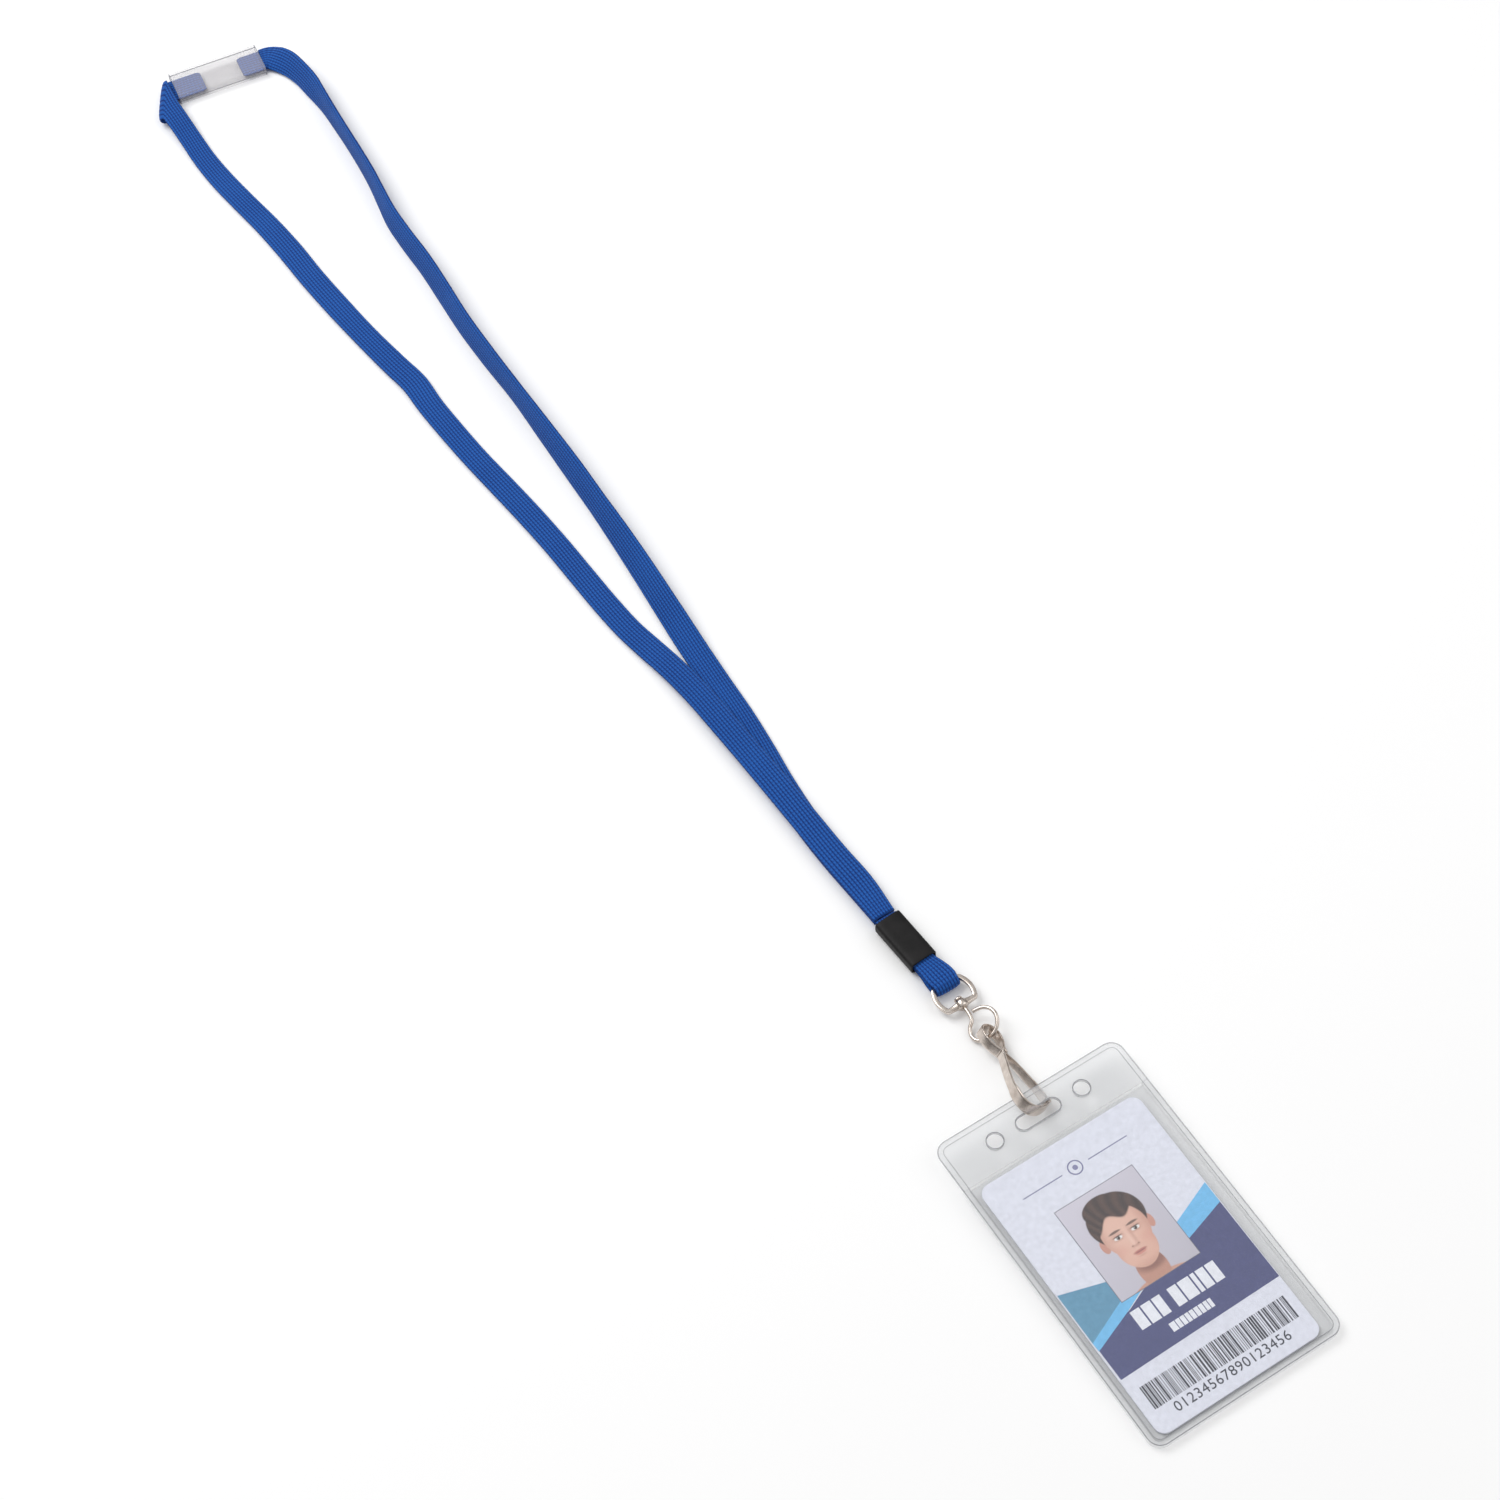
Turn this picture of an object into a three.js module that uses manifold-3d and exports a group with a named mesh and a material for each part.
// Lanyard badge holder: a flat woven neck strap with a pull-apart tube, a crimp sleeve, a swivel
// J-hook and a clear pouch with a printed card. Millimetres, +Z up, lying flat on a table at z = 0.
// Built along +Y from the middle of the pouch's top edge, then centred on its own length.
import * as THREE from 'three';
import { mergeVertices } from 'three/addons/utils/BufferGeometryUtils.js';
import Module from 'manifold-3d';

const wasm = await Module();
wasm.setup();

// ---- driving dimensions ----
const LENGTH_CENTRE = 200.92;      // from the pouch's top edge to the middle of the whole length

const STRAP_THICK = 1.8;
const STRAP_SIDES = 10;            // corners of the strap's flat oval section
const LOOP_WIDTH = 6.8;            // strap width where the sleeve squeezes it
// The loop's ends and bends along y, the half gap between its layers, and its two radii at the ring.
const LOOP = { top: 70.8, neck: 50.5, eye: 44.2, apart: 0.2, outside: 2.25, inside: 1.25 };

const TUBE_CENTRE = [-2.1, 497.2];
const TUBE_TURN = -8.9;            // degrees, in plan
const TUBE_LENGTH = 32.4;
const TUBE_WIDTH = 13.8;
const TUBE_HEIGHT = 4.4;
const TUBE_WALL = 0.7;
const END_WIDTH = 10.0;            // strap ends lie flat and wide inside the tube
const END_LEFT_TIP = -5.6;         // along the tube, from its middle
const END_RIGHT_TIP = 8.3;

const CREASE = { at: [-28.6, 490.8], turn: 1.04 };    // the left strand's fold line; turn in radians
const MOUTH = { at: [-18.6, 500], turn: -0.155 };     // the tube's mouth, where that strand stops
const RIGHT_GAP = 1.5;             // between the tube's right end and the right strand

const SLEEVE = { length: 17.8, width: 8.2, height: 4.8, wall: 0.55, corner: 1.3 };
const SLEEVE_FOOT = [1.15, 52.0];  // middle of the sleeve's lower end, in plan
const SLEEVE_TURN = 3.2;           // degrees, in plan
const LAYER = 1.3;                 // strap layer inside the sleeve

const AXIS_Z = 2.6;                // height of the swivel's axis above the table
const RING = { x: 2.4, bar_y: 42.5, foot_y: 34.4, half: 5.4, band: 1.5, thick: 1.3 };
const BOSS = { r: 1.75, hole_r: 0.95, length: 2.4 };
const WIRE_R = 0.55;
const EYE = { y: 26.0, r: 4.5, tilt: 28 };   // ring middle, ring radius, turn about the stem
const STEM = { top_y: 36.4, head_r: 1.35, head: 0.9 };

const HOOK = { x: 2.6, y: 21.2, z: 3.45, roll: 36, metal: 0.7, upper: 3.2, lower: 4.0 };
const GATE = { metal: 0.5, root: 2.4, tip: 3.2 };

const POUCH = { width: 62.8, height: 105.3, corner: 4, top_z: 5.2, tilt: 1.5 };
const SHEET = 0.4;                 // vinyl thickness
const SHEET_GAP = 0.15;
const HEADER = 15.5;               // header strip above the card slit
const RIM = 2.0;                   // welded rim
const SLOT = { y: -7.6, x: -0.5, length: 14.6, width: 4.6 };
const HOLE = { y: -7.7, spread: 14.8, r: 2.5 };
const CARD = { width: 54, height: 85.6, corner: 3.2, thick: 0.76, x: -0.8, bottom: 1.6 + RIM / 2 };
const ROUND_STEPS = 6;             // segments in a quarter circle

// ---- strap routes: x, y, height of the middle, roll in degrees, width ----
const LEFT_ROUTE = [
  [0.2, 71.3, 3.3, 0, 7.2], [0.3, 84, 3.0, 0, 8.8], [-0.4, 98, 2.9, 0, 8.8], [-0.8, 113, 2.9, 0, 8.8],
  [-1.2, 128, 2.9, 0, 8.8], [-1.8, 143, 2.9, 0, 8.6], [-2.3, 155, 2.9, 0, 8.6], [-3.2, 173, 2.5, 0, 8.6],
  [-4.3, 184, 1.9, 0, 8.6], [-5.8, 194, 1.3, 0, 8.6], [-7.3, 204, 1.0, 0, 8.4], [-8.2, 216, 1.0, 0, 8.4],
  [-8.7, 230, 1.0, 0, 8.4], [-9.2, 246, 1.0, 0, 8.4], [-10.2, 262, 1.0, 0, 8.5], [-11.5, 277, 1.0, 0, 8.5],
  [-12.8, 291, 1.0, 0, 8.4], [-13.7, 307, 1.0, 0, 8.5], [-14.1, 320, 1.0, 0, 8.6], [-13.9, 331, 1.2, 0, 8.9],
  [-15.3, 342, 1.0, 0, 8.8], [-17.2, 358, 1.0, 0, 8.5], [-18.9, 378, 1.0, 0, 8.7], [-19.8, 393, 1.0, 0, 8.7],
  [-20.2, 408, 1.0, 0, 8.8], [-21.2, 423, 1.0, 0, 8.6], [-23.0, 439, 1.0, 0, 8.4], [-24.3, 453, 1.0, 0, 8.3],
  [-24.7, 464, 1.2, 0, 8.0], [-24.5, 475, 2.1, 0, 7.8], [-24.5, 486, 3.7, 0, 8.0], [-24.6, 491, 4.0, 0, 8.4],
  [-23.1, 498, 4.2, 0, 9.0], [-21.1, 506, 4.3, 0, 9.0],
];
const RIGHT_ROUTE = [
  [0.3, 71.3, 1.5, 0, 7.2], [0.5, 84, 0.95, 0, 8.6], [-0.2, 98, 0.95, 0, 8.6], [-0.2, 113, 0.95, 0, 8.6],
  [0.8, 128, 0.95, 0, 8.6], [2.6, 143, 0.95, 0, 8.6], [3.8, 155, 0.95, 0, 8.6], [4.6, 172, 1.3, 3, 8.6],
  [5.2, 184, 1.7, 10, 8.6], [6.5, 204, 2.9, 28, 8.6], [7.6, 219, 3.4, 36, 8.6], [8.6, 235, 3.8, 44, 8.6],
  [9.3, 250, 4.1, 52, 8.6], [9.9, 265, 4.3, 53, 8.6], [10.5, 286, 4.5, 61, 8.6], [11.0, 306, 4.6, 69, 8.6],
  [11.1, 326, 4.6, 65, 8.6], [11.6, 342, 4.5, 63, 8.6], [12.8, 357, 4.5, 61, 8.6], [13.9, 372, 4.5, 61, 8.6],
  [14.2, 387, 4.5, 62, 8.6], [14.8, 398, 4.6, 64, 8.6], [16.4, 408, 4.6, 69, 8.6], [18.1, 418, 4.6, 73, 8.6],
  [19.4, 429, 4.6, 76, 8.6], [20.4, 440, 4.6, 77, 8.6], [21.2, 450, 4.6, 75, 8.6], [22.0, 461, 4.6, 69, 8.6],
  [22.2, 471, 4.5, 55, 8.8], [21.8, 479, 4.2, 52, 8.8], [20.6, 486, 3.7, 40, 9], [18.6, 491, 3.0, 24, 9.2],
  [16.8, 493.8, 2.4, 8, 9.4], [14.0, 494.8, 2.2, 0, 9.8],
];
const ROUTE_STEPS = 66;

// ---- helpers: solids, cuts and joins ----
function toSolid(geometry) {
  const bare = geometry.clone();
  bare.deleteAttribute('normal');
  bare.deleteAttribute('uv');
  const merged = mergeVertices(bare, 1e-4);
  return new wasm.Manifold(new wasm.Mesh({
    numProp: 3,
    vertProperties: new Float32Array(merged.attributes.position.array),
    triVerts: new Uint32Array(merged.index.array),
  }));
}

function toGeometry(solid) {
  const mesh = solid.getMesh();
  const geometry = new THREE.BufferGeometry();
  geometry.setAttribute('position', new THREE.BufferAttribute(new Float32Array(mesh.vertProperties), 3));
  geometry.setIndex(new THREE.BufferAttribute(new Uint32Array(mesh.triVerts), 1));
  return geometry;
}

function join(...geometries) {
  return toGeometry(geometries.map(toSolid).reduce((whole, next) => whole.add(next)));
}

function cut(geometry, ...tools) {
  return toGeometry(tools.map(toSolid).reduce((whole, next) => whole.subtract(next), toSolid(geometry)));
}

function extrude(shape, depth, steps = 1) {
  return new THREE.ExtrudeGeometry(shape, { depth, steps, bevelEnabled: false, curveSegments: ROUND_STEPS });
}

function box(width, depth, height, x, y, z) {
  return new THREE.BoxGeometry(width, depth, height).translate(x, y, z);
}

// A cylinder along Y.
function rodY(radius, length, x, y, z, sides = 20) {
  return new THREE.CylinderGeometry(radius, radius, length, sides).translate(x, y, z);
}

// A rectangle with round corners, from its middle.
function roundRect(width, height, radius, x = 0, y = 0) {
  const [a, b] = [width / 2, height / 2];
  const shape = new THREE.Shape();
  shape.absarc(x + a - radius, y + b - radius, radius, 0, Math.PI / 2);
  shape.absarc(x - a + radius, y + b - radius, radius, Math.PI / 2, Math.PI);
  shape.absarc(x - a + radius, y - b + radius, radius, Math.PI, 1.5 * Math.PI);
  shape.absarc(x + a - radius, y - b + radius, radius, 1.5 * Math.PI, 2 * Math.PI);
  return shape;
}

// Turns a side profile upright: shape x to the frame's y, shape y to z, and the extrusion to x.
const TURN_AXES = new THREE.Matrix4().set(0, 0, 1, 0, 1, 0, 0, 0, 0, 1, 0, 0, 0, 0, 0, 1);

// A flat tube along Y: outer rounded rectangle less the same shape one wall smaller.
function flatTube(width, height, wall, corner, length) {
  const outer = roundRect(width, height, corner);
  outer.holes.push(roundRect(width - 2 * wall, height - 2 * wall, Math.max(corner - wall, 0.3)));
  return extrude(outer, length).rotateX(Math.PI / 2).translate(0, length, 0);
}

// A smooth line through points in the plane or in space.
function smoothLine(points) {
  const stations = points.map(([x, y, z = 0]) => new THREE.Vector3(x, y, z));
  return new THREE.CatmullRomCurve3(stations, false, 'centripetal');
}

// The outline of a metal strip of even thickness that follows a smooth line.
function stripShape(points, thickness, samples) {
  const curve = smoothLine(points);
  const side = (t, sign) => {
    const at = curve.getPointAt(t);
    const along = curve.getTangentAt(t);
    return new THREE.Vector2(at.x - along.y * sign * thickness / 2, at.y + along.x * sign * thickness / 2);
  };
  const steps = Array.from({ length: samples + 1 }, (_, i) => i / samples);
  return new THREE.Shape([...steps.map((t) => side(t, -1)), ...steps.reverse().map((t) => side(t, 1))]);
}

// A flat oval strap carried along a route; each station sets the height, roll and width there.
function strapAlong(route) {
  const curve = smoothLine(route);
  const section = new THREE.Shape(Array.from({ length: STRAP_SIDES }, (_, i) => {
    const angle = (2 * Math.PI * i) / STRAP_SIDES;
    return new THREE.Vector2(flatten(Math.cos(angle)) / 2, flatten(Math.sin(angle)) / 2);
  }));
  const geometry = extrude(section, 1, ROUTE_STEPS);
  const place = geometry.attributes.position;
  for (let i = 0; i < place.count; i += 1) {
    const share = curve.getUtoTmapping(place.getZ(i));
    const [roll, width] = routeValues(route, share);
    const along = curve.getTangent(share);
    const flat = new THREE.Vector3(along.y, -along.x, 0).normalize();
    const side = flat.clone().applyAxisAngle(along, -THREE.MathUtils.degToRad(roll));
    const up = side.clone().cross(along);
    const at = curve.getPoint(share);
    at.addScaledVector(side, -place.getX(i) * width).addScaledVector(up, place.getY(i) * STRAP_THICK);
    place.setXYZ(i, at.x, at.y, at.z);
  }
  return geometry;
}

// Squares off a circle's coordinate, so that the section is a flat oval.
function flatten(value) {
  return Math.sign(value) * Math.abs(value) ** 0.6;
}

function routeValues(route, share) {
  const place = share * (route.length - 1);
  const index = Math.min(Math.floor(place), route.length - 2);
  const rest = place - index;
  return [3, 4].map((column) => route[index][column] * (1 - rest) + route[index + 1][column] * rest);
}

// ---- materials ----
function finish(colour, roughness, metalness = 0, opacity = 1) {
  return new THREE.MeshStandardMaterial({
    color: new THREE.Color(...colour), roughness, metalness, opacity, transparent: opacity < 1,
  });
}
const weave = () => finish([0.02, 0.1, 0.38], 0.85);
const nickel = () => finish([0.72, 0.68, 0.64], 0.28, 1);
const vinyl = () => finish([0.86, 0.88, 0.9], 0.2, 0, 0.35);

const lanyard = new THREE.Group();
const holder = new THREE.Group();
const breakaway = new THREE.Group();
const sleeve = new THREE.Group();
const hook = new THREE.Group();

function add(parent, name, geometry, material) {
  const mesh = new THREE.Mesh(geometry, material);
  mesh.name = name;
  parent.add(mesh);
  return mesh;
}

// ---- strap ----
// The left strand ends on the diagonal crease where the strap folds under and turns to the tube.
function leftStrand() {
  const crease = box(60, 40, 20, 0, 20, 4).rotateZ(CREASE.turn).translate(...CREASE.at, 0);
  const mouth = box(30, 40, 20, 15, 0, 4).rotateZ(MOUTH.turn).translate(...MOUTH.at, 0);
  return cut(strapAlong(LEFT_ROUTE), crease, mouth);
}

// The right strand stops just short of the strap end that stands out of the tube.
function rightStrand() {
  const mouth = box(20, 17, 12, -10, 0, 4).translate(TUBE_LENGTH / 2 + RIGHT_GAP, 0, 0)
    .rotateZ(THREE.MathUtils.degToRad(TUBE_TURN)).translate(...TUBE_CENTRE, 0);
  return cut(strapAlong(RIGHT_ROUTE), mouth);
}

// One strap length runs down through the sleeve, round the D-ring's bar and back up.
function ringLoop() {
  const { top, neck, eye, apart, outside, inside } = LOOP;
  const [low, high] = [AXIS_Z - apart - LAYER, AXIS_Z + apart + LAYER];
  const nose = RING.bar_y;
  const outer = new THREE.Shape();
  outer.moveTo(top, high).lineTo(neck, high).lineTo(eye, AXIS_Z + outside);
  outer.lineTo(nose, AXIS_Z + outside).absarc(nose, AXIS_Z, outside, Math.PI / 2, 1.5 * Math.PI);
  outer.lineTo(eye, AXIS_Z - outside).lineTo(neck, low).lineTo(top, low).lineTo(top, AXIS_Z - apart);
  outer.lineTo(neck, AXIS_Z - apart).lineTo(eye + apart, AXIS_Z - inside).lineTo(nose, AXIS_Z - inside);
  outer.absarc(nose, AXIS_Z, inside, 1.5 * Math.PI, Math.PI / 2, true);
  outer.lineTo(eye + apart, AXIS_Z + inside).lineTo(neck, AXIS_Z + apart).lineTo(top, AXIS_Z + apart);
  outer.closePath();
  const profile = extrude(outer, LOOP_WIDTH).translate(0, 0, -LOOP_WIDTH / 2);
  profile.applyMatrix4(TURN_AXES);
  const place = profile.attributes.position;
  const lean = Math.tan(THREE.MathUtils.degToRad(SLEEVE_TURN));
  for (let i = 0; i < place.count; i += 1) {
    const y = place.getY(i);
    const middle = y > neck - 1 ? SLEEVE_FOOT[0] - (y - SLEEVE_FOOT[1]) * lean : RING.x - 0.3;
    place.setX(i, place.getX(i) + middle);
  }
  return profile;
}

add(lanyard, 'strap_left_strand', leftStrand(), weave());
add(lanyard, 'strap_right_strand', rightStrand(), weave());
add(lanyard, 'strap_ring_loop', ringLoop(), weave());

// ---- breakaway tube and the strap ends inside it ----
const half = TUBE_LENGTH / 2;
const endHeight = -TUBE_HEIGHT / 2 + TUBE_WALL + 0.1;
const tubeBody = flatTube(TUBE_WIDTH, TUBE_HEIGHT, TUBE_WALL, TUBE_HEIGHT / 2 - 0.1, TUBE_LENGTH);
tubeBody.rotateZ(-Math.PI / 2).translate(-half, 0, 0);

function endLeft() {
  const inside = new THREE.Shape();
  const [a, b] = [END_WIDTH / 2, END_LEFT_TIP];
  inside.moveTo(-half - 1, -a).lineTo(b - 1, -a).lineTo(b, -a + 1).lineTo(b, a - 1).lineTo(b - 1, a);
  inside.lineTo(-half - 1, a).lineTo(-half - 3.2, a - 0.6).lineTo(-half - 8.3, -a - 4.2).closePath();
  return extrude(inside, STRAP_THICK).translate(0, 0, endHeight);
}

function endRight() {
  const inside = new THREE.Shape();
  const [a, b] = [END_WIDTH / 2, END_RIGHT_TIP];
  inside.moveTo(half + 1.2, a).lineTo(b + 1, a).lineTo(b, a - 1).lineTo(b, -a + 1).lineTo(b + 1, -a);
  inside.lineTo(half + 1.2, -a).closePath();
  return extrude(inside, STRAP_THICK).translate(0, 0, endHeight);
}

breakaway.position.set(TUBE_CENTRE[0], TUBE_CENTRE[1], TUBE_HEIGHT / 2 + 0.02);
breakaway.rotation.z = THREE.MathUtils.degToRad(TUBE_TURN);
add(breakaway, 'breakaway_tube', tubeBody, vinyl());
add(breakaway, 'strap_end_left', endLeft(), weave());
add(breakaway, 'strap_end_right', endRight(), weave());

// ---- crimp sleeve ----
sleeve.position.set(SLEEVE_FOOT[0], SLEEVE_FOOT[1], AXIS_Z);
sleeve.rotation.z = THREE.MathUtils.degToRad(SLEEVE_TURN);
const sleeveBody = flatTube(SLEEVE.width + 0.8, SLEEVE.height, SLEEVE.wall, SLEEVE.corner, SLEEVE.length);
add(sleeve, 'crimp_sleeve', sleeveBody, finish([0.02, 0.02, 0.02], 0.55));

// ---- D-ring and swivel ----
// The strap bar and the foot bar are straight and the two sides bow out; a boss carries the stem.
function dRing() {
  const { bar_y: top, foot_y: foot, half: wide, band } = RING;
  const ringLine = (grow) => {
    const shape = new THREE.Shape();
    shape.moveTo(4.6 + grow * 0.6, foot - grow);
    shape.quadraticCurveTo(wide + 1.4 + grow, (foot + top) / 2, 4.4 + grow * 0.6, top + grow);
    shape.lineTo(-4.4 - grow * 0.6, top + grow);
    shape.quadraticCurveTo(-wide - 1.4 - grow, (foot + top) / 2, -4.6 - grow * 0.6, foot - grow);
    return shape;
  };
  const face = ringLine(band / 2);
  face.holes.push(ringLine(-band / 2));
  const plate = extrude(face, RING.thick).translate(0, 0, -RING.thick / 2);
  return cut(join(plate, rodY(BOSS.r, BOSS.length, 0, foot, 0)), rodY(BOSS.hole_r, 6, 0, foot, 0));
}

function wireEye() {
  const ring = new THREE.TorusGeometry(EYE.r, WIRE_R, 10, 32).translate(0, EYE.y, 0);
  const stem_foot = EYE.y + EYE.r;
  const stem = rodY(WIRE_R + 0.1, STEM.top_y - stem_foot, 0, (STEM.top_y + stem_foot) / 2, 0);
  return join(ring, stem, rodY(STEM.head_r, STEM.head, 0, STEM.top_y, 0));
}

const ring = add(lanyard, 'd_ring', dRing(), nickel());
ring.position.set(RING.x, 0, AXIS_Z);
const eye = add(lanyard, 'wire_eye', wireEye(), nickel());
eye.position.set(RING.x, 0, AXIS_Z);
eye.rotation.y = -THREE.MathUtils.degToRad(EYE.tilt);

// ---- J-hook: a bent steel strip; u runs across the mouth, v up towards the ring ----
function hookBody() {
  const eyelet = [[-1.1, -6.6], [-2.5, -3.2], [-2.6, 0.2], [-1.7, 2.4], [0, 3.1], [1.9, 2.5],
    [2.9, 0.4], [2.3, -3.2], [0.5, -6.4]];
  const leg = [[-0.4, -6.2], [-2.4, -10.4], [-4.5, -14.6], [-6.1, -18.6]];
  const bend = [[-5.7, -17.4], [-6.8, -21.2], [-7.0, -24.7], [-5.8, -27.3], [-3.2, -28.2], [-0.6, -27.8],
    [1.6, -26.9], [2.9, -25.4]];
  const strip = (points, width, samples) => extrude(stripShape(points, HOOK.metal, samples), width)
    .translate(0, 0, -width / 2);
  const clasp = box(2.6, 1.6, HOOK.upper, -0.4, -6.6, 0);
  return join(strip(eyelet, HOOK.upper, 30), strip(leg, HOOK.upper, 8), strip(bend, HOOK.lower, 26), clasp);
}

// The spring tongue widens towards its free end, which rests just inside the hook's tip.
function hookGate() {
  const line = [[0.1, -7.8], [1.0, -11.5], [1.7, -16.5], [2.1, -21], [2.0, -25.2]];
  const blank = extrude(stripShape(line, GATE.metal, 14), GATE.tip).translate(0, 0, -GATE.tip / 2);
  const narrow = (sign) => {
    const waste = [[-7, GATE.root / 2], [-20, GATE.tip / 2 * 1.01], [-20, 4], [-7, 4]];
    const shape = new THREE.Shape(waste.map(([v, w]) => new THREE.Vector2(v, sign * w)));
    const side = extrude(shape, 10).translate(0, 0, -4);
    return side.applyMatrix4(TURN_AXES);
  };
  return cut(blank, narrow(1), narrow(-1));
}

hook.position.set(HOOK.x, HOOK.y, HOOK.z);
hook.rotation.y = THREE.MathUtils.degToRad(HOOK.roll);
add(hook, 'hook_body', hookBody(), nickel());
add(hook, 'hook_gate', hookGate(), nickel());

// ---- pouch: sheets are built downwards from the front face, z = 0 ----
function punched(geometry) {
  const opening = roundRect(SLOT.length, SLOT.width, SLOT.width / 2 - 0.01, SLOT.x, SLOT.y);
  const slot = extrude(opening, 6).translate(0, 0, -3);
  const hole = (side) => new THREE.CylinderGeometry(HOLE.r, HOLE.r, 6, 24).rotateX(Math.PI / 2)
    .translate(SLOT.x + side * HOLE.spread, HOLE.y, 0);
  return cut(geometry, slot, hole(-1), hole(1));
}

const outline = (inset) => roundRect(POUCH.width - 2 * inset, POUCH.height - 2 * inset,
  POUCH.corner - inset, 0, -POUCH.height / 2);
const CARD_TOP = -SHEET - SHEET_GAP - SHEET - SHEET_GAP;   // the card slides behind the header strip
const BACK_TOP = CARD_TOP - CARD.thick - SHEET_GAP;

// The front sheet covers the whole outline; its rim turns down to the back sheet below the slit.
function pouchFront() {
  const plate = extrude(outline(0), SHEET).translate(0, 0, -SHEET);
  const wall = outline(0);
  wall.holes.push(outline(RIM));
  const depth = -BACK_TOP - SHEET_GAP;
  const rim = extrude(wall, depth - SHEET / 2).translate(0, 0, -depth);
  return punched(join(plate, cut(rim, box(80, 2 * HEADER, 8, 0, 0, 0))));
}

function pouchHeader() {
  const sheet = extrude(outline(0), SHEET).translate(0, 0, -2 * SHEET - SHEET_GAP);
  return punched(cut(sheet, box(80, 100, 8, 0, -HEADER + 0.3 - 50, 0)));
}

function pouchBack() {
  const sheet = extrude(outline(0), SHEET).translate(0, 0, BACK_TOP - SHEET);
  return cut(sheet, box(80, 2 * HEADER + 0.6, 8, 0, 0, 0));
}

function card() {
  const middle = -POUCH.height + CARD.bottom + CARD.height / 2;
  const blank = roundRect(CARD.width, CARD.height, CARD.corner, CARD.x, middle);
  return extrude(blank, CARD.thick).translate(0, 0, CARD_TOP - CARD.thick);
}

holder.position.z = POUCH.top_z;
holder.rotation.x = THREE.MathUtils.degToRad(POUCH.tilt);
add(holder, 'pouch_front', pouchFront(), vinyl());
add(holder, 'pouch_header_back', pouchHeader(), vinyl());
add(holder, 'pouch_back', pouchBack(), vinyl());
add(holder, 'id_card', card(), finish([0.75, 0.76, 0.85], 0.45));

lanyard.add(holder, breakaway, sleeve, hook);
lanyard.position.y = -LENGTH_CENTRE;

export default lanyard;
